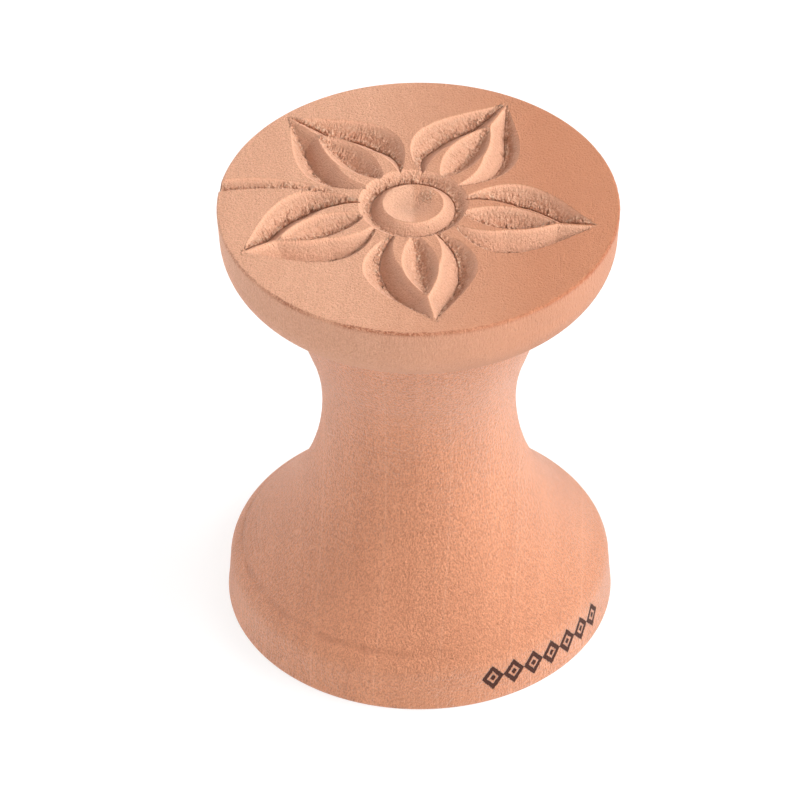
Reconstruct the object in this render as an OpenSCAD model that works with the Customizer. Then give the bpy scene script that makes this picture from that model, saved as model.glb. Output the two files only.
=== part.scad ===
// Carved wooden stamp with a turned, waisted handle.
// A round head carries a five-petalled flower cut as V-shaped grooves. The
// head is glued and dowelled on the wide upper end of the handle, and the
// other end of the handle flares into a bell with a plain band at its foot.
// It stands on that foot: z = 0 is the foot's flat face, +Z points to the
// carved face and the turning axis is the Z axis.

/* [Head] */
// Diameter over the rim of the head
head_d = 60; // [56:0.5:70]
// Thickness of the head, from the glue line to the carved face
head_h = 11.3; // [10:0.1:14]
// Rounding of the rim's upper edge
rim_round = 0.4; // [0.2:0.1:1]
// How much narrower the rim is where its straight side ends
rim_draft = 0.3; // [0:0.1:0.6]
// Radius of the large rounding under the rim
under_round = 7; // [6:0.5:7.5]
// Height of that rounding's centre above the glue line
under_rise = 6.7; // [5.5:0.1:7]

/* [Handle] */
// Height of the handle, from the foot to the glue line
handle_h = 63.2; // [60:0.1:75]
// Diameter of the waist
waist_d = 29.4; // [26:0.2:34]
// Height of the waist above the foot
waist_z = 37.7; // [36:0.1:40]
// Radius of the hollow curve between the waist and the bell
bell_curve = 39; // [36:0.5:44]
// Radius of the hollow curve just above the waist
neck_curve = 30; // [24:0.5:36]
// Angle between the straight flank of the neck and the turning axis
neck_angle = 18.5; // [16:0.5:20]
// Radius of the cove where the neck spreads under the head
cove_curve = 6; // [5:0.25:7]

/* [Foot] */
// Diameter of the band at its lower edge
foot_d = 59; // [56:0.2:64]
// How much smaller in diameter the band is at its upper end
band_draft = 0.8; // [0.4:0.1:1.2]
// Rounding between the bell and the band
shoulder_round = 3.5; // [2.5:0.25:4.5]
// Rounding of the foot's lower edge
foot_round = 0.4; // [0.2:0.1:1]

/* [Dowel] */
// Diameter of the dowel and of its two holes
dowel_d = 10; // [8:0.5:12]
// Depth of the dowel hole in the head
head_hole = 7; // [5:0.5:8]
// Depth of the dowel hole in the handle
handle_hole = 13; // [10:0.5:20]
// Space for glue left at each end of the dowel
glue_gap = 0.5; // [0.3:0.1:1]
// Chamfer at the dowel's ends
dowel_chamfer = 0.8; // [0.4:0.1:1.2]
// Number of glue flutes along the dowel
flutes = 12; // [6:1:16]

/* [Flower] */
// Number of petals
petals = 5; // [5:1:6]
// Direction of the first petal
flower_turn = 60.4; // [0:0.1:71]
// Sideways place of the flower's centre on the face
flower_x = -0.8; // [-1:0.1:1]
// Place of the flower's centre towards the back of the face
flower_y = 0.5; // [-1:0.1:1]
// Distance from the flower's centre to a petal's tip
petal_reach = 28.4; // [24:0.1:28.5]
// Half of a petal's greatest width
petal_half = 8.4; // [7:0.1:8.6]
// How far a petal's middle lies to the clockwise side of the line to its tip
petal_sweep = 0.7; // [0:0.1:0.8]
// Half of the greatest width of the small leaf inside a petal
leaf_half = 2.7; // [2.2:0.1:3]
// Distance from the flower's centre to that leaf's tip
leaf_reach = 22; // [19:0.5:23]
// Width of the flat rib beside the leaf at its root
rib_w = 2.2; // [1.4:0.1:2.4]
// Outer radius of the ring groove round the button
ring_outer = 8.2; // [7.6:0.1:8.6]
// Radius of the button in the middle
button_r = 4.5; // [4:0.1:5]
// Depth of the shallow cone cut into the button
button_dimple = 0.9; // [0.1:0.1:1.2]
// Slope of the grooves' walls below the face
wall_slope = 40; // [32:1:42]

/* [Stem] */
// Direction from the flower's centre to the straight, inner part of the stem
stem_turn = 166; // [165:0.5:168]
// How far the stem has bent away from that direction at the rim, against the clock
stem_bend = 3.2; // [0:0.1:4]
// Half width of the stem groove at the rim
stem_half = 1.6; // [1.2:0.1:2]
// Distance from the flower's centre to the stem's inner end
stem_start = 11.6; // [11:0.1:13]

/* [Hidden] */
$fn = 96;
fine_fn = 240;               // sides of the two long hollow curves

wood = [0.87, 0.63, 0.47];
wood_handle = [0.85, 0.60, 0.44];
wood_dowel = [0.90, 0.74, 0.55];
clear = 0.4;                 // how far a cutting shape stands out of the wood
end_half = 0.06;             // half width left at a groove's pointed ends
stations = 14;               // steps along a petal groove
root_overlap = 1.2;          // how far a petal groove runs into the ring groove
tip_short = 0.2;             // length left off a groove's pointed end
spread = clear / tan(wall_slope);  // how much wider a groove is at that height

// Head
top_z = handle_h + head_h;
rim_r = head_d / 2;
under_x = rim_r - rim_draft - under_round;
under_z = handle_h + under_rise;
joint_r = under_x + sqrt(pow(under_round, 2) - pow(under_rise, 2));

// Handle: the hollow curves are circles whose centres lie outside the wood
waist_r = waist_d / 2;
neck_c = [waist_r + neck_curve, waist_z];
neck_out = [cos(neck_angle), -sin(neck_angle)];
neck_up = [sin(neck_angle), cos(neck_angle)];
flank_start = neck_c - neck_curve * neck_out;
cove_gap = flank_start + cove_curve * neck_out - [joint_r, handle_h];
cove_mid = cove_gap * neck_up;
flank_len = -cove_mid - sqrt(pow(cove_mid, 2) - cove_gap * cove_gap + pow(cove_curve, 2));
flank_end = flank_start + flank_len * neck_up;
cove_c = flank_end + cove_curve * neck_out;

// Foot: a rounding that touches both the band and the hollow of the bell
foot_r = foot_d / 2;
band_top_r = foot_r - band_draft / 2;
bell_c = [waist_r + bell_curve, waist_z];
shoulder_x = band_top_r - shoulder_round;
shoulder_z = waist_z - sqrt(pow(bell_curve + shoulder_round, 2) - pow(bell_c.x - shoulder_x, 2));
shoulder_c = [shoulder_x, shoulder_z];
bell_end = shoulder_c + shoulder_round * (bell_c - shoulder_c) / norm(bell_c - shoulder_c);

// Dowel
dowel_len = head_hole + handle_hole - 2 * glue_gap;
dowel_end_r = dowel_d / 2 - dowel_chamfer;
flute_r = 0.6;
flute_depth = 0.35;
flute_fn = 24;

// Flower: outline of a leaf as its half width u of the way from root to tip.
// root_pow and tip_pow set how full the root is and how fine the tip is.
petal_root = 4.8;
leaf_root = 7;
root_pow = 1;
tip_pow = 1.36;
leaf_tip_pow = 1.1;
rib_end = 15;
sweep_end = 16;
function bulge(u, a, b) =
    pow(u * (a + b) / a, a) * pow((1 - u) * (a + b) / b, b);
function outline(t) = let (u = (t - petal_root) / (petal_reach - petal_root))
    petal_half * bulge(u, root_pow, tip_pow);
function leaf(t) = let (u = (t - leaf_root) / (leaf_reach - leaf_root))
    u <= 0 || u >= 1 ? 0 : leaf_half * bulge(u, root_pow, leaf_tip_pow);
function sweep(t) = let (u = max(0, (t - sweep_end) / (petal_reach - sweep_end)))
    -petal_sweep * (1 - u * u);
function rib(t) = t > rib_end ? end_half : end_half + rib_w * (rib_end - t) / (rib_end - ring_outer);

// Stem: straight near the flower, then bent; its half width grows quickly at first
stem_far = rim_r + 2;
stem_pow = 0.45;
bend_start = 17;
function stem_width(t) = end_half + stem_half * pow((t - stem_start) / (rim_r - stem_start), stem_pow);
function stem_mid(t) = stem_bend * pow(max(0, t - bend_start) / (rim_r - bend_start), 2);

// One groove: a V-shaped section carried along x from x0 to x1. The edges on
// the face are at y = low(i) and y = high(i), and the bottom lies midway.
module groove(xs, low, high) {
    n = len(xs);
    points = [for (i = [0:n - 1]) each [
        [xs[i], low[i] - spread, clear],
        [xs[i], high[i] + spread, clear],
        [xs[i], (low[i] + high[i]) / 2, -(high[i] - low[i]) / 2 * tan(wall_slope)]]];
    faces = concat(
        [[2, 1, 0], [3 * n - 3, 3 * n - 2, 3 * n - 1]],
        [for (i = [0:n - 2], k = [0:2]) let (a = 3 * i + k, b = 3 * i + (k + 1) % 3)
            each [[b + 3, a + 3, a], [b, b + 3, a]]]);
    polyhedron(points, faces);
}

function spaced(a, b) = [for (i = [0:stations]) a + (b - a) * i / stations];

// The groove between the leaf's rib and the petal's outline, on one side of
// the petal: side is 1 for the left side and -1 for the right
module lobe(side) {
    xs = spaced(ring_outer - root_overlap, petal_reach - tip_short);
    inner = [for (t = xs) leaf(t) + rib(t)];
    outer = [for (i = [0:stations]) max(outline(xs[i]), inner[i] + 2 * end_half)];
    groove(xs, [for (i = [0:stations]) sweep(xs[i]) + (side > 0 ? inner[i] : -outer[i])],
           [for (i = [0:stations]) sweep(xs[i]) + (side > 0 ? outer[i] : -inner[i])]);
}

module inner_leaf() {
    xs = spaced(leaf_root + 2 * tip_short, leaf_reach - tip_short);
    groove(xs, [for (t = xs) sweep(t) - leaf(t)], [for (t = xs) sweep(t) + leaf(t)]);
}

module stem() {
    xs = spaced(stem_start, stem_far);
    groove(xs, [for (t = xs) stem_mid(t) - stem_width(t)], [for (t = xs) stem_mid(t) + stem_width(t)]);
}

module ring_groove() {
    mid = (button_r + ring_outer) / 2;
    half = (ring_outer - button_r) / 2;
    depth = half * tan(wall_slope);
    rotate_extrude()
        polygon([[mid - half - spread, clear], [mid, -depth], [mid + half + spread, clear]]);
}

// The cone's base is the button's edge on the face; above the face it is a plain disc
module dimple() {
    translate([0, 0, -button_dimple]) cylinder(r1 = 0, r2 = button_r, h = button_dimple);
    cylinder(r = button_r, h = clear);
}

module flower() {
    ring_groove();
    dimple();
    for (i = [0:petals - 1])
        rotate(flower_turn + i * 360 / petals) {
            lobe(1);
            lobe(-1);
            inner_leaf();
        }
    rotate(stem_turn) stem();
}

module head_profile() {
    translate([0, handle_h]) square([under_x, under_rise]);
    intersection() {
        translate([under_x, under_z]) circle(under_round);
        translate([under_x, handle_h]) square([under_round, under_rise]);
    }
    polygon([
        [0, under_z], [under_x + under_round, under_z], [rim_r, top_z - rim_round],
        [rim_r - rim_round, top_z - rim_round], [rim_r - rim_round, top_z], [0, top_z]]);
    translate([rim_r - rim_round, top_z - rim_round]) circle(rim_round);
}

module carved_head() {
    color(wood) difference() {
        rotate_extrude() head_profile();
        translate([flower_x, flower_y, top_z]) flower();
        translate([0, 0, handle_h - clear]) cylinder(d = dowel_d, h = head_hole + clear);
    }
}

module foot_profile() {
    polygon([
        [0, 0], [foot_r - foot_round, 0], [foot_r - foot_round, foot_round],
        [foot_r, foot_round], [band_top_r, shoulder_z], [0, shoulder_z]]);
    translate([foot_r - foot_round, foot_round]) circle(foot_round);
}

module bell_profile() {
    difference() {
        union() {
            polygon([
                [0, shoulder_z], shoulder_c, bell_end,
                [bell_end.x, waist_z], [0, waist_z]]);
            intersection() {
                translate(shoulder_c) circle(shoulder_round);
                translate(shoulder_c) square(shoulder_round);
            }
        }
        translate(bell_c) circle(bell_curve, $fn = fine_fn);
    }
}

module neck_profile() {
    difference() {
        translate([0, waist_z]) square([flank_start.x, flank_start.y - waist_z]);
        translate(neck_c) circle(neck_curve, $fn = fine_fn);
    }
    polygon([[0, flank_start.y], flank_start, flank_end, [0, flank_end.y]]);
    difference() {
        translate([0, flank_end.y]) square([joint_r, handle_h - flank_end.y]);
        translate(cove_c) circle(cove_curve);
    }
}

module handle() {
    color(wood_handle) difference() {
        rotate_extrude() {
            foot_profile();
            bell_profile();
            neck_profile();
        }
        translate([0, 0, handle_h - handle_hole])
            cylinder(d = dowel_d, h = handle_hole + clear);
    }
}

module dowel() {
    color(wood_dowel) translate([0, 0, handle_h - handle_hole + glue_gap]) difference() {
        rotate_extrude() polygon([
            [0, 0], [dowel_end_r, 0], [dowel_d / 2, dowel_chamfer],
            [dowel_d / 2, dowel_len - dowel_chamfer], [dowel_end_r, dowel_len], [0, dowel_len]]);
        for (i = [0:flutes - 1])
            rotate(i * 360 / flutes)
                translate([dowel_d / 2 + flute_r - flute_depth, 0, -clear])
                    cylinder(r = flute_r, h = dowel_len + 2 * clear, $fn = flute_fn);
    }
}

carved_head();
handle();
dowel();
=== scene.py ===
import math

import bpy
import numpy as np
from mathutils import Euler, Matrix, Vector
from mathutils.geometry import delaunay_2d_cdt


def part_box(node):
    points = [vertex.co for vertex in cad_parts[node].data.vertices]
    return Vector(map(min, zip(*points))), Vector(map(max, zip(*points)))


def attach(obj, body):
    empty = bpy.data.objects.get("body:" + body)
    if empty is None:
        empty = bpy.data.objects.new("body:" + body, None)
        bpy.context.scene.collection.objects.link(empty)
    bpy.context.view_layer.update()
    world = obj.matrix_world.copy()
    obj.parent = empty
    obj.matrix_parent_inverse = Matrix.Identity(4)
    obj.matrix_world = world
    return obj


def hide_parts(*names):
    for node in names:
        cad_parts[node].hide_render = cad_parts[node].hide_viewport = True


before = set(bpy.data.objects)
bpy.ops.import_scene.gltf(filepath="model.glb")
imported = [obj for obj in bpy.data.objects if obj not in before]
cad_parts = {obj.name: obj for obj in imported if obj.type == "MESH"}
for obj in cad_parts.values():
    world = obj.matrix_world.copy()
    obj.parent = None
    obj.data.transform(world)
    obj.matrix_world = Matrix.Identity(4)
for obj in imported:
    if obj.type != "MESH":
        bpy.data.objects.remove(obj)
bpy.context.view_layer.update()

# Shapes are worked out in millimetres and written to the meshes in metres. Edges that turn by
# more than CREASE degrees stay sharp.
MM = 0.001
CREASE = 26.0
head_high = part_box("carved_head")[1] / MM
handle_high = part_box("handle")[1] / MM
TOP_Z = head_high.z
JOINT_Z = handle_high.z
RIM_R = head_high.x
FOOT_R = handle_high.x

# ---------------------------------------------------------------- driving sizes, as in the CAD
# The head's rim and the rounding under it
RIM_ROUND = 0.4
RIM_DRAFT = 0.3
UNDER_ROUND = 7.0
UNDER_RISE = 6.7
# The handle: its waist, the bell below, the neck above and the band at the foot
WAIST_R = 14.7
WAIST_Z = 37.7
BELL_CURVE = 39.0
NECK_CURVE = 30.0
NECK_ANGLE = 18.5
COVE_CURVE = 6.0
BAND_DRAFT = 0.4
SHOULDER_ROUND = 3.5
FOOT_ROUND = 0.4
# The dowel's holes
BORE_R = 5.0
HEAD_HOLE = 7.0
HANDLE_HOLE = 13.0

# The flower: its middle on the face, then its petals
FLOWER = (-0.8, 0.5)
FLOWER_TURN = 60.4
PETAL_REACH = 28.4
PETAL_STEP = 72
# Each petal as the carver cut it, going round against the clock: its turn away from its even
# place, the half widths of its far and near lobes, and how far up their walls the tearing goes
PETALS = (
    (-0.8, 8.8, 7.9, 1.0, 0.6),
    (-0.1, 8.1, 8.7, 0.6, 0.6),
    (0.1, 8.4, 8.8, 0.6, 0.9),
    (0.4, 8.5, 8.6, 0.6, 0.9),
    (0.3, 8.2, 8.4, 0.7, 0.6),
)
PETAL_SWEEP = 0.7
SWEEP_END = 16.0
PETAL_ROOT = 4.8
TIP_POW = 1.36
# The leaf between a petal's lobes, and the rib that widens beside it towards the ring
LEAF_ROOT = 7.0
LEAF_REACH = 22.0
LEAF_HALF = 2.7
LEAF_TIP_POW = 1.1
RIB_W = 2.2
RIB_END = 15.0
# The ring groove and the button in it
RING_OUTER = 8.2
BUTTON_R = 4.5
BUTTON_DIMPLE = 0.9
# Two small pits torn out of the first petal's near lobe, which is this groove in the list of
# grooves: how far along it, how far across and how wide
PIT_LOBE = 1
PITS = ((22.2, -3.2, 0.55), (18.9, -4.6, 0.6))
# A patch of raised fibres on the button, from its middle
FUZZ_SPOT = (2.3, 2.1)
# The stem, which bends on its way to the rim
STEM_TURN = 166.0
STEM_BEND = 3.2
BEND_START = 17.0
STEM_HALF = 1.6
STEM_START = 11.6
STEM_POW = 0.45
# How far the lobes run into the ring, how far lobes and leaves stop before their tips, how far
# beyond its root the leaf begins, and how far the stem runs past the rim
ROOT_OVERLAP = 1.2
TIP_SHORT = 0.1
LEAF_SHORT = 0.3
STEM_OVERRUN = 3
# The slope of every groove's walls, and half the width that is left where a groove ends
WALL = math.tan(math.radians(40))
END_HALF = 0.06

# How torn the walls are, from 0 to 1, and how far up them the tearing goes, in mm
SMOOTH = 0.12
TORN = 1.0
LEAF_TORN = (0.7, 0.8)
LEAF_TEAR = 0.5
STEM_TORN = (0.65, 0.65)
STEM_TEAR = 0.7
RING_TORN = 0.9
RING_TEAR = 0.6

# The middle of the head's lower rounding, and where it meets the handle
UNDER_X = RIM_R - RIM_DRAFT - UNDER_ROUND
UNDER_Z = JOINT_Z + UNDER_RISE
JOINT_R = UNDER_X + math.sqrt(UNDER_ROUND ** 2 - UNDER_RISE ** 2)

# How fine the meshes are: mm between their points and how many there are in a turn
SIDE_STEP = 0.45
LINE_STEP = 0.15
CARVED_STEP = 0.135
FLAT_STEP = 0.7
HANDLE_TURN = 300
HEAD_TURN = 480

# ---------------------------------------------------------------- seeded noise
_lattice = np.random.default_rng(11).random((256, 256)) * 2 - 1


def noise(x, y, layer=0):
    """Smooth value noise of about unit size, one cell per unit. layer picks another field."""
    x = np.asarray(x, float) + 37.3 * layer
    y = np.asarray(y, float) + 91.7 * layer
    ix = np.floor(x).astype(int)
    iy = np.floor(y).astype(int)
    fx = x - ix
    fy = y - iy
    fx = fx * fx * (3 - 2 * fx)
    fy = fy * fy * (3 - 2 * fy)

    def at(i, j):
        return _lattice[(ix + i) % 256, (iy + j) % 256]

    low = at(0, 0) * (1 - fx) + at(1, 0) * fx
    high = at(0, 1) * (1 - fx) + at(1, 1) * fx
    return low * (1 - fy) + high * fy


# ---------------------------------------------------------------- the carving
def bulge(u, root_pow, tip_pow):
    """A leaf's half width, 1 at its widest, u of the way from root to tip."""
    u = np.clip(u, 1e-6, 1 - 1e-6)
    total = root_pow + tip_pow
    return (u * total / root_pow) ** root_pow * ((1 - u) * total / tip_pow) ** tip_pow


def outline(t, widest):
    """A petal's half width at t mm from the flower's middle."""
    return widest * bulge((t - PETAL_ROOT) / (PETAL_REACH - PETAL_ROOT), 1.0, TIP_POW)


def leaf(t):
    """The half width of the leaf between a petal's lobes."""
    u = (t - LEAF_ROOT) / (LEAF_REACH - LEAF_ROOT)
    return np.where((u > 0) & (u < 1), LEAF_HALF * bulge(u, 1.0, LEAF_TIP_POW), 0.0)


def rib(t):
    """How wide the uncut wood is on each side of the leaf."""
    slope = RIB_W / (RIB_END - RING_OUTER)
    return END_HALF + np.clip(RIB_END - t, 0, None) * slope


def sweep(t):
    """How far a petal's middle line lies aside of its straight axis."""
    u = np.clip((t - SWEEP_END) / (PETAL_REACH - SWEEP_END), 0, None)
    return -PETAL_SWEEP * (1 - u * u)


def tear(t, s, v, half, rough, reach, seed):
    """What a knife leaves on a wall that it cuts against the fibres.
    t runs along the cut and s across it, in mm. v is 0 at the edge of the cut, 1 at its bottom.
    The wood is torn most within about reach mm of the bottom.
    Gives the extra depth in mm, how torn the wood is and how open it is, both from 0 to 1. How open it is
    also sets the painted shade of the gaps."""
    low = np.clip((v - 0.03) / 0.45, 0, 1)
    lean = 0.35 * s + 0.25 * noise(t / 1.5, s / 1.5, seed + 1)
    reach = reach * (1 + 0.8 * noise(t / 1.1, 0 * s, seed + 4))
    foot = np.clip(1 - (1 - v) * half / np.maximum(reach, 0.2), 0, 1)

    # Fibres that lie down the wall, and short tufts
    comb = noise((t + lean) / 0.20, s / 0.7, seed + 2)
    tuft = noise(t / 0.19, s / 0.19, seed + 3)
    # Gaps between the fibres near the bottom, and small ones anywhere on the wall
    notch = np.clip(2.4 * noise((t + lean) / 0.20, s / 0.5, seed + 5) - 0.75, 0, 1)
    bits = np.clip(2.6 * noise(t / 0.19, s / 0.21, seed + 6) - 1.3, 0, 1)

    gaps_and_shade = rough * np.clip(notch * np.minimum(1.6 * foot, 1) + 0.6 * bits * low, 0, 1)
    extra = rough * (0.07 * comb * low + 0.20 * tuft * (0.25 * low + foot))
    extra = extra - 0.28 * rough * foot + 0.32 * gaps_and_shade
    return extra, rough * np.clip(0.45 * low + 0.9 * foot, 0, 1), gaps_and_shade


class Groove:
    """A V-shaped cut that runs along a straight axis from start to end.
    edges(t) gives its two edges across the axis. rough says how torn each wall is,
    on the low side and the high side of its bottom, and reach how far up, in mm."""

    def __init__(self, turn, start, end, edges, rough, reach, seed):
        self.angle = math.radians(turn)
        self.start = start
        self.end = end
        self.edges = edges
        self.rough = rough
        self.reach = reach
        self.seed = seed

    def to_local(self, x, y):
        x = x - FLOWER[0]
        y = y - FLOWER[1]
        c = math.cos(self.angle)
        s = math.sin(self.angle)
        return x * c + y * s, y * c - x * s

    def to_face(self, t, s):
        c = math.cos(self.angle)
        n = math.sin(self.angle)
        return FLOWER[0] + t * c - s * n, FLOWER[1] + t * n + s * c

    def cut(self, x, y):
        """Rows for points of the face: depth in mm, torn, open wood with its painted shade, along and
        across the cut.
        """
        t, s = self.to_local(x, y)
        low, high = self.edges(t)
        half = np.maximum((high - low) / 2, 1e-3)
        q = (s - (high + low) / 2) / half
        inside = (t > self.start) & (t < self.end) & (np.abs(q) < 1) & (high > low)
        rough = np.where(q > 0, self.rough[1], self.rough[0])
        teeth = 0.22 * noise(t / 0.28, 0 * s, self.seed) + 0.16 * noise(t / 1.3, 0 * s, self.seed + 1)
        shift = rough * teeth * np.exp(-(q / 0.35) ** 2) / np.maximum(half, 0.7)
        v = np.clip(1 - np.abs(q + shift), 0, 1)
        extra, torn, gaps_and_shade = tear(t, s, v, half, rough, self.reach, self.seed)
        depth = half * WALL * v + extra * np.clip(6 * v, 0, 1)
        rows = np.stack([np.maximum(depth, 0), torn, gaps_and_shade, t, s])
        return np.where(inside, rows, 0)

    def lines(self, step):
        """Its two edges and its bottom as lists of face points."""
        t = np.arange(self.start, self.end, step)
        low, high = self.edges(t)
        return [np.stack(self.to_face(t, s), 1) for s in (low, (low + high) / 2, high)]


def lobe_edges(side, widest):
    """The edges of one lobe: side is 1 or -1."""
    def edges(t):
        inner = leaf(t) + rib(t)
        outer = np.maximum(outline(t, widest), inner + 2 * END_HALF)
        if side > 0:
            return sweep(t) + inner, sweep(t) + outer
        return sweep(t) - outer, sweep(t) - inner
    return edges


def leaf_edges(t):
    """The edges of the leaf."""
    return sweep(t) - leaf(t), sweep(t) + leaf(t)


def stem_edges(t):
    """The edges of the stem, which widens and bends towards the rim."""
    u = np.clip((t - STEM_START) / (RIM_R - STEM_START), 0, None)
    half = END_HALF + STEM_HALF * u ** STEM_POW
    middle = STEM_BEND * (np.clip(t - BEND_START, 0, None) / (RIM_R - BEND_START)) ** 2
    return middle - half, middle + half


def make_grooves():
    """Two lobes and a leaf for each petal, then the stem."""
    grooves = []
    root = RING_OUTER - ROOT_OVERLAP
    tip = PETAL_REACH - TIP_SHORT
    leaf_start = LEAF_ROOT + LEAF_SHORT
    leaf_end = LEAF_REACH - TIP_SHORT
    for i, (turn, far, near, far_reach, near_reach) in enumerate(PETALS):
        turn = turn + FLOWER_TURN + i * PETAL_STEP
        lobe = lobe_edges(1, far)
        grooves.append(Groove(turn, root, tip, lobe, (SMOOTH, TORN), far_reach, 10 * i))
        lobe = lobe_edges(-1, near)
        grooves.append(Groove(turn, root, tip, lobe, (TORN, SMOOTH), near_reach, 10 * i + 51))
        grooves.append(Groove(turn, leaf_start, leaf_end, leaf_edges, LEAF_TORN, LEAF_TEAR, 10 * i + 102))
    stem_end = RIM_R + STEM_OVERRUN
    grooves.append(Groove(STEM_TURN, STEM_START, stem_end, stem_edges, STEM_TORN, STEM_TEAR, 90))
    return grooves


GROOVES = make_grooves()


def ring_cut(x, y):
    """The same rows for the ring groove and the dimpled button inside it."""
    dx = x - FLOWER[0]
    dy = y - FLOWER[1]
    r = np.hypot(dx, dy)
    around = np.arctan2(dy, dx) * RING_OUTER
    half = (RING_OUTER - BUTTON_R) / 2
    q = (r - (RING_OUTER + BUTTON_R) / 2) / half
    rough = np.where(q > 0, RING_TORN, SMOOTH)
    teeth = 0.26 * rough * noise(around / 0.28, 0 * r, 120)
    v = np.clip(1 - np.abs(q + teeth * np.exp(-(q / 0.35) ** 2) / half), 0, 1)
    extra, torn, gaps_and_shade = tear(around, r, v, half, rough, RING_TEAR, 121)
    depth = half * WALL * v + extra * np.clip(6 * v, 0, 1)
    spot = np.clip(1.6 - np.hypot(dx - FUZZ_SPOT[0], dy - FUZZ_SPOT[1]), 0, 1) * (r < BUTTON_R)
    fuzz = spot * np.clip(0.4 + noise(x / 0.22, y / 0.22, 130), 0, 1)
    dimple = BUTTON_DIMPLE * np.clip(1 - r / BUTTON_R, 0, 1) + 0.15 * fuzz
    torn = np.maximum(torn, spot)
    # The fuzz's gaps get the same painted shade
    gaps_and_shade = np.maximum(gaps_and_shade, 0.8 * np.clip(fuzz - 0.35, 0, 1))
    return np.stack([np.maximum(depth, dimple), torn, gaps_and_shade, around, r])


def carve(x, y):
    """The rows of the whole carving: at each point those of its deepest cut."""
    rows = ring_cut(x, y)
    for g in GROOVES:
        one = g.cut(x, y)
        rows = np.where(one[0] > rows[0], one, rows)
    t, s = GROOVES[PIT_LOBE].to_local(x, y)
    for pit_t, pit_s, radius in PITS:
        pit = np.clip(1.4 * (1 - np.hypot(t - pit_t, s - pit_s) / radius), 0, 1)
        rows[0] = rows[0] + 0.35 * pit
        # The pits get the gaps' painted shade
        rows[2] = np.maximum(rows[2], 0.8 * pit)
    return rows


# ---------------------------------------------------------------- meshes
def make_piece(name, verts, faces, node):
    """A mesh object in metres that stands for a CAD node."""
    mesh = bpy.data.meshes.new(name)
    mesh.from_pydata([tuple(p) for p in np.asarray(verts) * MM], [], faces)
    mesh.validate()
    mesh.update()
    mesh.shade_smooth()
    mesh.set_sharp_from_angle(angle=math.radians(CREASE))
    piece = bpy.data.objects.new(name, mesh)
    bpy.context.scene.collection.objects.link(piece)
    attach(piece, "root")
    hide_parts(node)
    return piece


def arc(centre, radius, start, end, step):
    """Points round centre from angle start to angle end, in degrees, about step apart."""
    count = max(2, math.ceil(abs(math.radians(end - start)) * radius / step))
    angles = [math.radians(start + (end - start) * i / count) for i in range(count + 1)]
    return [(centre[0] + radius * math.cos(a), centre[1] + radius * math.sin(a)) for a in angles]


def line(a, b, step):
    """Points from a to b, about step apart, with both ends."""
    count = max(1, math.ceil(math.dist(a, b) / step))
    return [(a[0] + (b[0] - a[0]) * i / count, a[1] + (b[1] - a[1]) * i / count)
            for i in range(count + 1)]


def joined(*runs):
    """One profile from several runs, without the repeated points where they meet."""
    points = []
    for run in runs:
        for p in run:
            if not points or math.dist(points[-1], p) > 1e-4:
                points.append(p)
    return points


def revolve(profile, segments):
    """Vertices and faces of a profile turned about Z. A profile end on the axis is one vertex."""
    angles = np.arange(segments) * 2 * math.pi / segments
    verts = []
    rings = []
    for r, z in profile:
        start = len(verts)
        if r < 1e-6:
            verts.append((0.0, 0.0, z))
            rings.append([start] * segments)
        else:
            verts.extend((r * math.cos(a), r * math.sin(a), z) for a in angles)
            rings.append(list(range(start, start + segments)))
    faces = []
    for low, high in zip(rings, rings[1:]):
        for i in range(segments):
            j = (i + 1) % segments
            face = [low[i], low[j], high[j], high[i]]
            faces.append(tuple(dict.fromkeys(face)))
    return verts, faces, rings[-1]


def handle_profile(step):
    """From the middle of the foot's face, round the outside and down the dowel hole."""
    lean = math.radians(NECK_ANGLE)
    out = np.array([math.cos(lean), -math.sin(lean)])
    up = np.array([math.sin(lean), math.cos(lean)])
    neck_c = np.array([WAIST_R + NECK_CURVE, WAIST_Z])
    flank_start = neck_c - NECK_CURVE * out
    gap = flank_start + COVE_CURVE * out - np.array([JOINT_R, JOINT_Z])
    mid = gap @ up
    flank_len = -mid - math.sqrt(mid ** 2 - gap @ gap + COVE_CURVE ** 2)
    flank_end = flank_start + flank_len * up
    cove_c = flank_end + COVE_CURVE * out
    cove_end = math.degrees(math.atan2(JOINT_Z - cove_c[1], JOINT_R - cove_c[0]))

    band_top = FOOT_R - BAND_DRAFT
    bell_c = np.array([WAIST_R + BELL_CURVE, WAIST_Z])
    shoulder_x = band_top - SHOULDER_ROUND
    reach = BELL_CURVE + SHOULDER_ROUND
    shoulder_z = WAIST_Z - math.sqrt(reach ** 2 - (bell_c[0] - shoulder_x) ** 2)
    bell_turn = math.degrees(math.atan2(WAIST_Z - shoulder_z, bell_c[0] - shoulder_x))
    foot_x = FOOT_R - FOOT_ROUND
    return joined(
        line((0, 0), (foot_x, 0), 3 * step),
        arc((foot_x, FOOT_ROUND), FOOT_ROUND, -90, 0, step / 3),
        line((FOOT_R, FOOT_ROUND), (band_top, shoulder_z), step),
        arc((shoulder_x, shoulder_z), SHOULDER_ROUND, 0, bell_turn, step),
        arc(bell_c, BELL_CURVE, 180 + bell_turn, 180, step),
        arc(neck_c, NECK_CURVE, 180, 180 - NECK_ANGLE, step),
        line(flank_start, flank_end, step),
        arc(cove_c, COVE_CURVE, 180 - NECK_ANGLE, cove_end, step),
        line((JOINT_R, JOINT_Z), (BORE_R, JOINT_Z), 4 * step),
        line((BORE_R, JOINT_Z), (BORE_R, JOINT_Z - HANDLE_HOLE), 4 * step),
        line((BORE_R, JOINT_Z - HANDLE_HOLE), (0, JOINT_Z - HANDLE_HOLE), 4 * step),
    )


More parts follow.
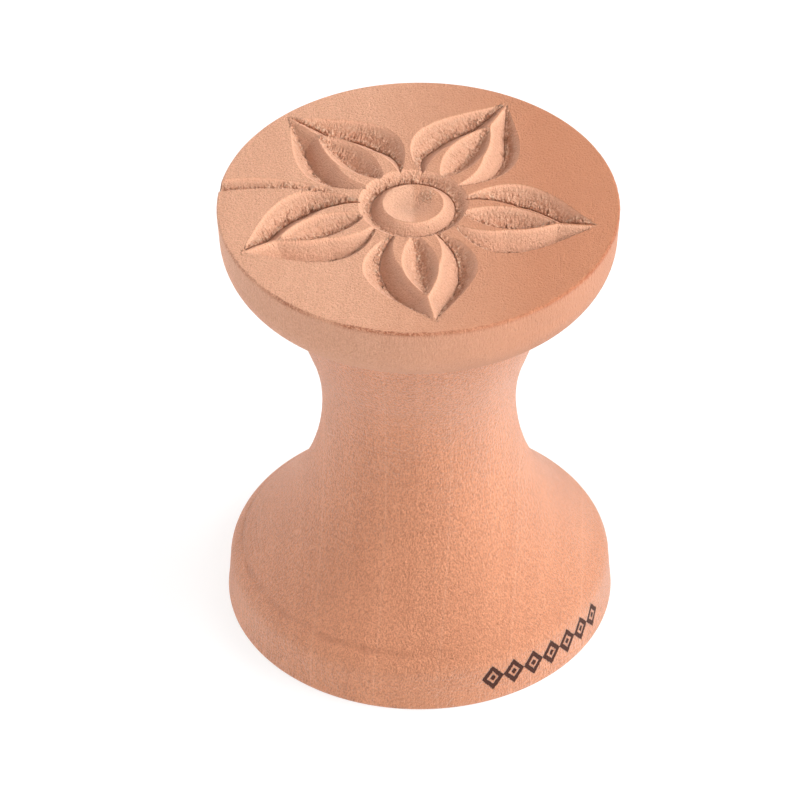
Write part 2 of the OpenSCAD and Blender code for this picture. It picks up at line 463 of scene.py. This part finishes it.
def make_handle():
    """The turned handle, with the slight waves that a turning tool leaves."""
    verts, faces, _ = revolve(handle_profile(SIDE_STEP), HANDLE_TURN)
    verts = np.array(verts)
    r = np.hypot(verts[:, 0], verts[:, 1])
    z = verts[:, 2]
    outside = (r > BORE_R + 1) & (z > 1) & (z < JOINT_Z - 1)
    around = np.arctan2(verts[:, 1], verts[:, 0])
    turned = 0.018 * noise(z / 1.1, around * 0, 7) + 0.02 * noise(z / 5, around * 0.8, 8) - 0.03
    scale = np.where(outside, 1 + turned / np.maximum(r, 1), 1)
    verts[:, 0] *= scale
    verts[:, 1] *= scale
    return make_piece("turned_handle", verts, faces, "handle")


def head_side_profile(step):
    """From the end of the dowel hole, out under the head and up to the edge of the face."""
    start = math.degrees(math.atan2(-UNDER_RISE, JOINT_R - UNDER_X))
    edge = RIM_R - RIM_ROUND
    return joined(
        line((0, JOINT_Z + HEAD_HOLE), (BORE_R, JOINT_Z + HEAD_HOLE), 4 * step),
        line((BORE_R, JOINT_Z + HEAD_HOLE), (BORE_R, JOINT_Z), 4 * step),
        line((BORE_R, JOINT_Z), (JOINT_R, JOINT_Z), 4 * step),
        arc((UNDER_X, UNDER_Z), UNDER_ROUND, start, 0, step),
        line((UNDER_X + UNDER_ROUND, UNDER_Z), (RIM_R, TOP_Z - RIM_ROUND), step),
        arc((edge, TOP_Z - RIM_ROUND), RIM_ROUND, 0, 90, step / 4),
    )


def grid_points(step, keep):
    """A triangular grid over the face, at those places where keep(x, y) is true."""
    rows = np.arange(-RIM_R, RIM_R, step * math.sqrt(0.75))
    cols = np.arange(-RIM_R, RIM_R, step)
    y, x = np.meshgrid(rows, cols, indexing="ij")
    x = x + (np.arange(len(rows))[:, None] % 2) * step / 2
    x = x.ravel()
    y = y.ravel()
    pick = keep(x, y)
    return np.stack([x[pick], y[pick]], 1)


def face_mesh(edge_r, edge_xy):
    """Triangles over the face, fine inside the grooves, with their edges and bottoms as mesh edges."""
    points = [edge_xy]
    count = len(edge_xy)
    edges = [(i, (i + 1) % count) for i in range(count)]

    def add_run(xy, closed=False):
        nonlocal count
        xy = xy[np.hypot(xy[:, 0], xy[:, 1]) < edge_r - 0.1]
        if len(xy) < 2:
            return
        points.append(xy)
        edges.extend((count + i, count + i + 1) for i in range(len(xy) - 1))
        if closed:
            edges.append((count + len(xy) - 1, count))
        count += len(xy)

    for g in GROOVES:
        for run in g.lines(LINE_STEP):
            add_run(run)
    for r in (BUTTON_R, (BUTTON_R + RING_OUTER) / 2, RING_OUTER):
        a = np.linspace(0, 2 * math.pi, int(2 * math.pi * r / LINE_STEP), endpoint=False)
        add_run(np.stack([FLOWER[0] + r * np.cos(a), FLOWER[1] + r * np.sin(a)], 1), True)

    def fine(x, y):
        inside = np.hypot(x, y) < edge_r - 0.12
        return inside & (carve(x, y)[0] > 0.01)

    def coarse(x, y):
        inside = np.hypot(x, y) < edge_r - 0.4
        return inside & (carve(x, y)[0] <= 0.01)

    points.append(grid_points(CARVED_STEP, fine))
    points.append(grid_points(FLAT_STEP, coarse))
    xy = np.concatenate(points)
    out = delaunay_2d_cdt([Vector(p) for p in xy], edges, [], 0, 1e-5)
    return np.array([tuple(p) for p in out[0]]), [tuple(f) for f in out[2]]


def front_burr(x, y):
    """How much burr the rim has: more at the front and the right, and more on some lengths."""
    side = np.clip(0.45 - y / 30 + x / 90, 0, 1)
    return side * np.clip(0.7 + 0.6 * noise(x / 4, y / 4, 201), 0.2, 1)


def roughen_rim(verts):
    """Small nicks along the rounded rim, more on some lengths of it than on others."""
    x, y, z = verts.T
    r = np.hypot(x, y)
    into = np.clip((r - (RIM_R - RIM_ROUND)) / 0.2, 0, 1) * np.clip((z - (TOP_Z - 1.2)) / 0.6, 0, 1)
    nick = np.clip(noise(x / 0.5, y / 0.5, 202) + 0.2, 0, 1) * 0.10 * into * front_burr(x, y)
    out = verts.copy()
    out[:, 0] = x * (1 - nick / r.clip(1))
    out[:, 1] = y * (1 - nick / r.clip(1))
    out[:, 2] = z - 0.6 * nick
    return out


def whole_head():
    """Vertices and faces of the turned side and the face, joined at the rim."""
    side, faces, rim = revolve(head_side_profile(SIDE_STEP), HEAD_TURN)
    side = np.array(side)
    rim_xy = side[rim][:, :2]
    xy, top_faces = face_mesh(RIM_R - RIM_ROUND, rim_xy)
    at_rim = {(round(p[0], 3), round(p[1], 3)): i for i, p in zip(rim, rim_xy)}
    index = []
    added = []
    for p in xy:
        key = (round(p[0], 3), round(p[1], 3))
        if key in at_rim:
            index.append(at_rim[key])
        else:
            index.append(len(side) + len(added))
            added.append((p[0], p[1], TOP_Z))
    faces = faces + [tuple(index[i] for i in f) for f in top_faces]
    return np.concatenate([side, np.array(added)]), faces


def make_head():
    """The head: the turned disc, with the carving pressed into its face."""
    verts, faces = whole_head()
    verts = roughen_rim(verts)
    rows = carve(verts[:, 0], verts[:, 1])
    near_top = verts[:, 2] > TOP_Z - 3
    carved_z = np.minimum(verts[:, 2], TOP_Z - rows[0])
    verts[:, 2] = np.where(near_top, carved_z, verts[:, 2])
    piece = make_piece("carved_face_head", verts, faces, "carved_head")
    add_head_fields(piece, verts, rows, near_top)
    return piece


def add_head_fields(piece, verts, rows, near_top):
    """What the head's material reads: fresh cuts, with the button's right half left out as painted shade,
    the rim's burr, and the rows of the carving.
    """
    x, y, z = verts.T
    depth, torn, gaps_and_shade, along, across = rows
    r = np.hypot(x, y)
    edge_r = RIM_R - RIM_ROUND
    crease = (z < TOP_Z - 0.02) & (z > TOP_Z - RIM_ROUND - 0.3) & (r > edge_r)
    keep = near_top & (r < edge_r + 0.3)
    dx = x - FLOWER[0]
    button = np.hypot(dx, y - FLOWER[1]) < BUTTON_R
    # Every cut is fresh and pale, but of the button only the left half: its right half stays darker as
    # painted shade of its dimple
    pale_cut = np.where(button, np.clip(0.5 - dx / 0.8, 0, 1), np.clip(depth / 0.1, 0, 1))
    add_field(piece, "cut", keep * pale_cut)
    add_field(piece, "crease", crease * front_burr(x, y))
    add_field(piece, "torn", torn * keep)
    add_field(piece, "gaps_and_shade", gaps_and_shade * keep)
    add_field(piece, "along", along)
    add_field(piece, "across", across)


def add_field(piece, name, values):
    """A number at each vertex that the materials can read."""
    attribute = piece.data.attributes.new(name, "FLOAT", "POINT")
    attribute.data.foreach_set("value", values.astype(np.float32))


# ---------------------------------------------------------------- materials
# Each wood: between the flecks, in the late growth, and its flecks. Then the thin growth lines
# and the scratches
BODY_PALE = (0.86, 0.381, 0.214, 1)
BODY_LATE = (0.68, 0.277, 0.147, 1)
BODY_FLECK = (0.46, 0.170, 0.084, 1)
HEAD_PALE = (0.92, 0.492, 0.316, 1)
HEAD_LATE = (0.79, 0.385, 0.236, 1)
HEAD_FLECK = (0.60, 0.275, 0.160, 1)
DOWEL_PALE = (0.74, 0.52, 0.33, 1)
DOWEL_LATE = (0.66, 0.43, 0.26, 1)
DOWEL_FLECK = (0.5, 0.3, 0.17, 1)
LINE_TONE = (0.96, 0.53, 0.36, 1)

# The painted shade on the right of the head's face, its side, and walls of the carving: fresh
# ones, those that face left in painted shade, torn ones with painted shade in their hollows,
# the tips of their fibres as painted highlight and the painted shade in the gaps between them.
# Then the rim's burr and the burnt row
HEAD_RIGHT_SHADE = (0.62, 0.245, 0.125, 1)
SIDE_TONE = (0.62, 0.330, 0.225, 1)
FRESH_TONE = (0.97, 0.533, 0.349, 1)
SHADE_TONE = (0.66, 0.300, 0.180, 1)
TORN_AND_SHADE_TONE = (0.76, 0.325, 0.180, 1)
TIP_HIGHLIGHT_TONE = (1.0, 0.68, 0.47, 1)
GAP_SHADE_TONE = (0.30, 0.095, 0.044, 1)
BURR_TONE = (0.44, 0.135, 0.062, 1)
BURNT = (0.080, 0.024, 0.014, 1)

# Metres of relief for a height of 1
RELIEF = 0.00030

# How much soft sheen each wood has where it is seen at a slant
HEAD_SHEEN = 0.06
HANDLE_SHEEN = 0.45
DOWEL_SHEEN = 0.1

# The middle of the tree for the stamp and for the dowel, the width of a year's growth, and
# where across the front and the back the turning lifted the fibres and painted light and shade
# of grazing light is laid on the flecks, in mm
PITH = (-148.5, 0.0)
DOWEL_PITH = (-20, 15)
YEAR_W = 10.0
LIFT_AND_GRAZE_X = 3.0

# Height of the fine line that the tool left at the top of the foot's band, darkened as painted shade
BAND_LINE_Z = 9.2

# The burnt row on the foot: degrees round from the front, height and sizes in mm
MARK_TURN = 43.2
MARK_Z = 4.4
MARK_PITCH = 3.6
MARK_HALF = 1.8
MARK_TALL = 2.2
MARK_LINE = 0.78
MARK_COUNT = 7


class Nodes:
    """A short way to write a material's nodes."""

    def __init__(self, name):
        self.material = bpy.data.materials.new(name)
        self.material.use_nodes = True
        self.tree = self.material.node_tree
        self.shader = self.tree.nodes["Principled BSDF"]

    def add(self, kind, inputs=None, **settings):
        node = self.tree.nodes.new(kind)
        for key, value in settings.items():
            setattr(node, key, value)
        for key, value in (inputs or {}).items():
            if isinstance(value, bpy.types.NodeSocket):
                self.tree.links.new(value, node.inputs[key])
            else:
                node.inputs[key].default_value = value
        return node

    def math(self, operation, a, b=0.0):
        return self.add("ShaderNodeMath", {0: a, 1: b}, operation=operation).outputs[0]

    def plus(self, a, b):
        return self.math("ADD", a, b)

    def minus(self, a, b):
        return self.math("SUBTRACT", a, b)

    def times(self, a, b):
        return self.math("MULTIPLY", a, b)

    def parts(self, vector):
        """The x, y and z of a vector."""
        return self.add("ShaderNodeSeparateXYZ", {0: vector}).outputs

    def scaled(self, vector, scale):
        node = self.add("ShaderNodeVectorMath", {0: vector, 1: scale}, operation="MULTIPLY")
        return node.outputs[0]

    def noise(self, vector, detail=2.0, roughness=0.5):
        node = self.add("ShaderNodeTexNoise", {"Vector": vector, "Scale": 1.0, "Detail": detail,
                                               "Roughness": roughness})
        return node.outputs["Fac"]

    def noise_along(self, value, detail, roughness):
        node = self.add("ShaderNodeTexNoise", {"W": value, "Scale": 1.0, "Detail": detail,
                                               "Roughness": roughness}, noise_dimensions="1D")
        return node.outputs["Fac"]

    def field(self, name):
        return self.add("ShaderNodeAttribute", attribute_name=name).outputs["Fac"]

    def spread(self, value, low, high, to_low=0.0, to_high=1.0):
        node = self.add("ShaderNodeMapRange", {"Value": value, "From Min": low, "From Max": high,
                                               "To Min": to_low, "To Max": to_high})
        node.clamp = True
        return node.outputs["Result"]

    def mix(self, factor, a, b):
        node = self.add("ShaderNodeMix", data_type="RGBA")
        for key, value in (("Factor", factor), ("A", a), ("B", b)):
            socket = [s for s in node.inputs if s.name == key and s.enabled][0]
            if isinstance(value, bpy.types.NodeSocket):
                self.tree.links.new(value, socket)
            else:
                socket.default_value = value
        return [s for s in node.outputs if s.enabled][0]


def wood(name, pale, late, fleck, pith, turned, relief):
    """Pale, fine-grained wood whose fibres run along Z: faint growth rings about a pith line
    beside the piece, thin fibre lines, flecks and the marks of turning. turned, from 0 to 1,
    says how much the tool has lifted the fibres and how strong the painted light and shade of
    grazing light on the flecks is there, and relief how rough the wood is."""
    n = Nodes(name)
    place = n.add("ShaderNodeTexCoord").outputs["Object"]
    mm = n.scaled(place, (1 / MM, 1 / MM, 1 / MM))
    far = from_pith(n, mm, pith)
    ring = n.noise_along(n.times(far, 0.30), 3.0, 0.6)
    thin = n.noise_along(n.times(far, 1.1), 2.0, 0.5)
    cloud = n.noise(n.scaled(mm, (0.10, 0.10, 0.06)), 2)
    fibre = n.noise(n.scaled(mm, (2.9, 2.9, 0.30)), 3, 0.65)
    mottle = n.noise(n.scaled(mm, (2.9, 2.9, 1.5)), 2, 0.6)
    grain = n.noise(n.scaled(mm, (4.6, 4.6, 2.4)), 2, 0.7)
    dots = n.noise(n.scaled(mm, (3.4, 3.4, 1.5)), 1)
    speck = n.noise(n.scaled(mm, (4.6, 4.6, 2.6)), 2, 0.7)
    lifted_and_grazing = lifted_and_grazing_band(n, mm, turned)
    marks = scratches(n, mm)
    layers = (
        (n.spread(ring, 0.36, 0.66, 0.0, 0.34), late),
        (n.spread(thin, 0.60, 0.68, 0.0, 0.55), pale),
        (n.spread(cloud, 0.35, 0.7, 0.0, 0.22), late),
        (n.spread(fibre, 0.38, 0.72, 0.0, 0.36), fleck),
        (n.spread(mottle, 0.35, 0.70, 0.0, 0.26), late),
        (n.spread(grain, 0.48, 0.62, 0.0, 0.56), fleck),
        (n.spread(grain, 0.48, 0.38, 0.0, 0.6), pale),
        (n.spread(dots, 0.66, 0.76, 0.0, 0.55), fleck),
        # In that band the flecks are made darker and paler: painted light and shade of grazing light,
        # over the grain's own flecks
        (n.times(lifted_and_grazing, n.spread(speck, 0.50, 0.38)), fleck),
        (n.times(lifted_and_grazing, n.spread(speck, 0.50, 0.62)), pale),
        (n.times(year_lines(n, far), 0.16), LINE_TONE),
        (n.times(marks, 0.22), LINE_TONE),
    )
    tone = pale
    for amount, colour in layers:
        tone = n.mix(amount, tone, colour)

    lathe = n.noise(n.scaled(mm, (0.03, 0.03, 3.6)), 3, 0.7)
    lathe = n.times(lathe, n.spread(cloud, 0.40, 0.60, 0.3, 0.8))
    height = n.plus(n.times(fibre, 0.7), n.times(mottle, 0.9))
    height = n.plus(height, grain)
    height = n.times(height, n.plus(1.0, n.times(lifted_and_grazing, 0.4)))
    height = n.minus(n.plus(height, lathe), n.times(marks, 0.25))
    return n, mm, tone, n.times(height, relief)


def from_pith(n, mm, pith):
    """Distance in mm from the middle of the tree, wandering a little as growth rings do."""
    x, y, _ = n.parts(mm)
    wander = n.noise(n.scaled(mm, (0.06, 0.06, 0.02)), 2)
    dx = n.plus(x, -pith[0])
    dy = n.plus(y, -pith[1])
    far = n.math("SQRT", n.plus(n.times(dx, dx), n.times(dy, dy)))
    return n.plus(far, n.times(wander, 2.0))


def lifted_and_grazing_band(n, mm, turned):
    """How lifted the fibres are: in a band down the front and the back, where the turning tool
    cuts against them, as much as turned says, and not at all on the two sides. The band also
    carries painted light and shade where the light grazes the grain."""
    x = n.parts(mm)[0]
    return n.spread(n.math("ABSOLUTE", n.plus(x, -LIFT_AND_GRAZE_X)), 10.0, 2.0, 0.0, turned)


def year_lines(n, far):
    """1 on a thin line for each year's growth, 0 elsewhere."""
    year = n.math("FRACT", n.math("DIVIDE", far, YEAR_W))
    return n.spread(n.math("ABSOLUTE", n.minus(year, 0.5)), 0.018, 0.006)


def scratches(n, mm):
    """Fine sanding scratches that cross each other at a slant, here and there."""
    x, y, z = n.parts(mm)
    some = n.spread(n.noise(n.scaled(mm, (0.13, 0.13, 0.16)), 1), 0.56, 0.66)
    both = 0.0
    for slope in (0.9, -1.3):
        across = n.plus(z, n.times(x, slope))
        along = n.minus(x, n.times(z, slope))
        place = n.add("ShaderNodeCombineXYZ", {0: n.times(across, 2.6),
                                               1: n.times(along, 0.10),
                                               2: n.times(y, 0.10)}).outputs[0]
        both = n.math("MAXIMUM", both, n.spread(n.noise(place, 1), 0.66, 0.74))
    return n.times(both, some)


def finish_wood(n, tone, height, sheen):
    """Join the tone and the relief to the shader of dry, unpolished wood."""
    bump = n.add("ShaderNodeBump", {"Height": height, "Distance": RELIEF, "Strength": 1.0})
    n.tree.links.new(tone, n.shader.inputs["Base Color"])
    n.tree.links.new(bump.outputs["Normal"], n.shader.inputs["Normal"])
    n.shader.inputs["Roughness"].default_value = 0.62
    n.shader.inputs["Specular IOR Level"].default_value = 0.28
    n.shader.inputs["Sheen Weight"].default_value = sheen
    n.shader.inputs["Sheen Roughness"].default_value = 0.35
    return n.material


def head_material():
    """The head's wood: darker and warmer to the right as painted shade, paler where it was cut, and
    darker on its side.
    """
    n, mm, tone, height = wood("carved_wood", HEAD_PALE, HEAD_LATE, HEAD_FLECK, PITH, 0.2, 0.85)
    x, _, z = n.parts(mm)
    pale_cut = n.field("cut")
    not_pale_cut = n.minus(1.0, n.times(pale_cut, 0.8))
    # Darker and warmer towards the right of the face, but not on the pale cuts: painted shade
    right_shade = n.times(n.spread(x, -10, 18, 0.0, 0.95), not_pale_cut)
    tone = n.mix(right_shade, tone, HEAD_RIGHT_SHADE)
    tone = n.mix(n.times(pale_cut, 0.8), tone, FRESH_TONE)
    # Cut walls that face left are darkened as painted shade
    facing = n.parts(n.add("ShaderNodeNewGeometry").outputs["Normal"])
    faces_left = n.spread(facing[0], -0.25, -0.60)
    tone = n.mix(n.times(n.times(pale_cut, faces_left), 0.6), tone, SHADE_TONE)
    side = n.spread(z, TOP_Z - 0.2, TOP_Z - 0.7)
    tone = n.mix(n.times(side, 0.38), tone, SIDE_TONE)
    speck = n.spread(n.noise(n.scaled(mm, (3.6, 3.6, 3.6)), 2, 0.7), 0.54, 0.42)
    tone = n.mix(n.times(n.times(side, speck), 0.4), tone, HEAD_FLECK)
    tone, height = torn_wood(n, mm, tone, height)
    return finish_wood(n, tone, height, HEAD_SHEEN)


def torn_wood(n, mm, tone, height):
    """Torn walls, with painted shade in their hollows and a painted highlight on their fibre tips,
    the painted shade of the gaps in them and the burr at the rim, over a plain tone and height.
    """
    torn = n.field("torn")
    gaps_and_shade = n.field("gaps_and_shade")
    cut = n.add("ShaderNodeCombineXYZ", {0: n.field("along"), 1: n.field("across")}).outputs[0]
    comb = n.noise(n.scaled(cut, (2.8, 0.9, 1)), 3, 0.65)
    fuzz = n.noise(n.scaled(mm, (3.0, 3.0, 3.0)), 3, 0.7)
    rough = n.plus(n.times(comb, 0.5), n.times(fuzz, 0.5))
    # Torn wood is darker where its relief is low: painted shade over the torn wood's own darker tone
    shade = n.times(torn, n.spread(rough, 0.51, 0.41))
    tone = n.mix(n.times(shade, 0.5), tone, TORN_AND_SHADE_TONE)
    # Paler where its relief is high: a painted highlight on the fibre tips, over their paler ends
    tip_highlight = n.times(torn, n.spread(rough, 0.52, 0.58))
    tone = n.mix(tip_highlight, tone, TIP_HIGHLIGHT_TONE)
    # Painted shade in the gaps and pits
    tone = n.mix(n.times(gaps_and_shade, 0.62), tone, GAP_SHADE_TONE)
    burr = n.times(n.field("crease"), n.spread(fuzz, 0.46, 0.56, 1.0, 0.2))
    tone = n.mix(n.times(burr, 0.9), tone, BURR_TONE)
    height = n.plus(height, n.times(n.times(torn, rough), 3.2))
    return tone, height


def handle_material():
    """The handle's wood, with the turned line darkened as painted shade, and the burnt row on the foot's
    band.
    """
    n, mm, tone, height = wood("turned_wood", BODY_PALE, BODY_LATE, BODY_FLECK, PITH, 0.45, 1.0)
    x, _, z = n.parts(mm)
    wander = n.noise(n.scaled(mm, (0.25, 0.25, 0.25)), 2)
    up = n.plus(n.minus(z, BAND_LINE_Z), n.minus(wander, 0.5))
    band_dent_and_shade = n.spread(n.math("ABSOLUTE", up), 0.10, 0.55, 1.0, 0.0)
    band_dent_and_shade = n.times(band_dent_and_shade, n.spread(wander, 0.35, 0.60, 0.25, 1.0))
    # The line and its painted shade fade out towards the right, where the light falls
    band_dent_and_shade = n.times(band_dent_and_shade, n.spread(x, -4, 7, 1.0, 0.1))
    # Painted shade along the line, which is also dented a little
    tone = n.mix(n.times(band_dent_and_shade, 0.4), tone, BODY_FLECK)
    height = n.minus(height, n.times(band_dent_and_shade, 0.5))
    mark = lozenge_row(n, mm)
    tone = n.mix(mark, tone, BURNT)
    height = n.minus(height, n.times(mark, 2.0))
    material = finish_wood(n, tone, height, HANDLE_SHEEN)
    # Sheen would turn the burnt row grey
    n.tree.links.new(n.spread(mark, 0, 1, HANDLE_SHEEN, 0.0), n.shader.inputs["Sheen Weight"])
    return material


def lozenge_row(n, mm):
    """1 inside a short row of lozenges burnt into the foot's band, 0 elsewhere."""
    x, y, z = n.parts(mm)
    around = n.math("ARCTAN2", x, n.times(y, -1.0))
    along = n.times(n.minus(around, math.radians(MARK_TURN)), FOOT_R)
    nearest = n.math("ROUND", n.math("DIVIDE", along, MARK_PITCH))
    across = n.math("ABSOLUTE", n.minus(along, n.times(nearest, MARK_PITCH)))
    up = n.math("ABSOLUTE", n.minus(z, MARK_Z))
    edge = n.noise(n.scaled(mm, (3, 3, 3)), 2)
    lozenge = n.plus(n.math("DIVIDE", across, MARK_HALF), n.math("DIVIDE", up, MARK_TALL))
    lozenge = n.plus(lozenge, n.times(n.minus(edge, 0.5), 0.25))
    from_line = n.math("ABSOLUTE", n.minus(lozenge, MARK_LINE))
    ring = n.spread(from_line, 0.21, 0.28, 1.0, 0.0)
    dot = n.spread(lozenge, 0.22, 0.32, 1.0, 0.0)
    mark = n.math("MAXIMUM", ring, dot)
    within = n.math("LESS_THAN", n.math("ABSOLUTE", along), MARK_PITCH * MARK_COUNT / 2)
    return n.times(mark, within)


def dowel_material():
    """The dowel's own wood, a straight piece with no lifted fibres."""
    n, _, tone, height = wood("dowel_wood", DOWEL_PALE, DOWEL_LATE, DOWEL_FLECK, DOWEL_PITH, 0.0, 1.0)
    return finish_wood(n, tone, height, DOWEL_SHEEN)


# ---------------------------------------------------------------- camera, light and floor
def set_camera():
    """The camera stands in front and looks down at the face. It aims a little below the middle
    of the face and to the left of it, and is rolled a little."""
    elevation = math.radians(38.6)
    distance = 1.178
    below = math.radians(1.407)
    aside = math.radians(0.180)
    roll = math.radians(-0.33)
    data = bpy.data.cameras.new("camera")
    data.lens = 356.8
    data.sensor_width = 36
    data.clip_end = 20
    camera = bpy.data.objects.new("camera", data)
    turn = Euler((math.pi / 2 - elevation - below, 0, aside)).to_matrix()
    turn = turn @ Euler((0, 0, roll)).to_matrix()
    camera.matrix_world = turn.to_4x4()
    camera.location = (0, -distance * math.cos(elevation),
                       TOP_Z * MM + distance * math.sin(elevation))
    bpy.context.scene.collection.objects.link(camera)
    bpy.context.scene.camera = camera


# Soft square lights: name, size in metres, power, degrees round from the camera's side
# towards +X, and degrees above the level of the point that they all face
LIGHTS = (
    ("front_right", 0.5, 2.45, 50, 40),
    ("right", 0.5, 2.05, 75, 32),
    ("back_right", 0.5, 4.3, 100, 45),
    ("front", 0.5, 2.4, 0, 25),
    ("left", 0.5, 3.3, -110, 8),
    ("back_left", 0.4, 3.2, -138, 6),
    ("back", 0.5, 1.6, 170, 40),
)
LIGHT_AIM = (0, 0, 0.04)
LIGHT_DISTANCE = 0.8


def area_light(name, size, power, azimuth, height):
    data = bpy.data.lights.new(name, "AREA")
    data.size = size
    data.energy = power
    lamp = bpy.data.objects.new(name, data)
    a = math.radians(azimuth)
    e = math.radians(height)
    aim = Vector(LIGHT_AIM)
    side = Vector((math.sin(a) * math.cos(e), -math.cos(a) * math.cos(e), math.sin(e)))
    lamp.location = aim + LIGHT_DISTANCE * side
    lamp.rotation_euler = (aim - lamp.location).to_track_quat("-Z", "Y").to_euler()
    bpy.context.scene.collection.objects.link(lamp)


def set_light():
    """Only the lamps light the scene: the sky is dark."""
    world = bpy.data.worlds.new("studio")
    bpy.context.scene.world = world
    world.use_nodes = True
    world.node_tree.nodes["Background"].inputs["Strength"].default_value = 0.0
    for light in LIGHTS:
        area_light(*light)
    bpy.context.scene.view_settings.view_transform = "Standard"


def make_floor():
    """A plain white floor that glows a little, so that it stays pale to its edges."""
    mesh = bpy.data.meshes.new("floor")
    half = 3.0
    # A hair under the foot, so that the two flat faces don't coincide
    z = -0.02 * MM
    mesh.from_pydata([(-half, -half, z), (half, -half, z), (half, half, z), (-half, half, z)],
                     [], [(0, 1, 2, 3)])
    floor = bpy.data.objects.new("floor", mesh)
    bpy.context.scene.collection.objects.link(floor)
    n = Nodes("floor_white")
    n.shader.inputs["Base Color"].default_value = (0.35, 0.35, 0.35, 1)
    n.shader.inputs["Roughness"].default_value = 0.9
    n.shader.inputs["Specular IOR Level"].default_value = 0.1
    n.shader.inputs["Emission Color"].default_value = (1, 1, 1, 1)
    n.shader.inputs["Emission Strength"].default_value = 0.74
    mesh.materials.append(n.material)


set_camera()
set_light()
make_floor()
head = make_head()
head.data.materials.append(head_material())
handle = make_handle()
handle.data.materials.append(handle_material())
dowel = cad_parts["dowel"]
for slot in dowel.material_slots:
    slot.material = dowel_material()
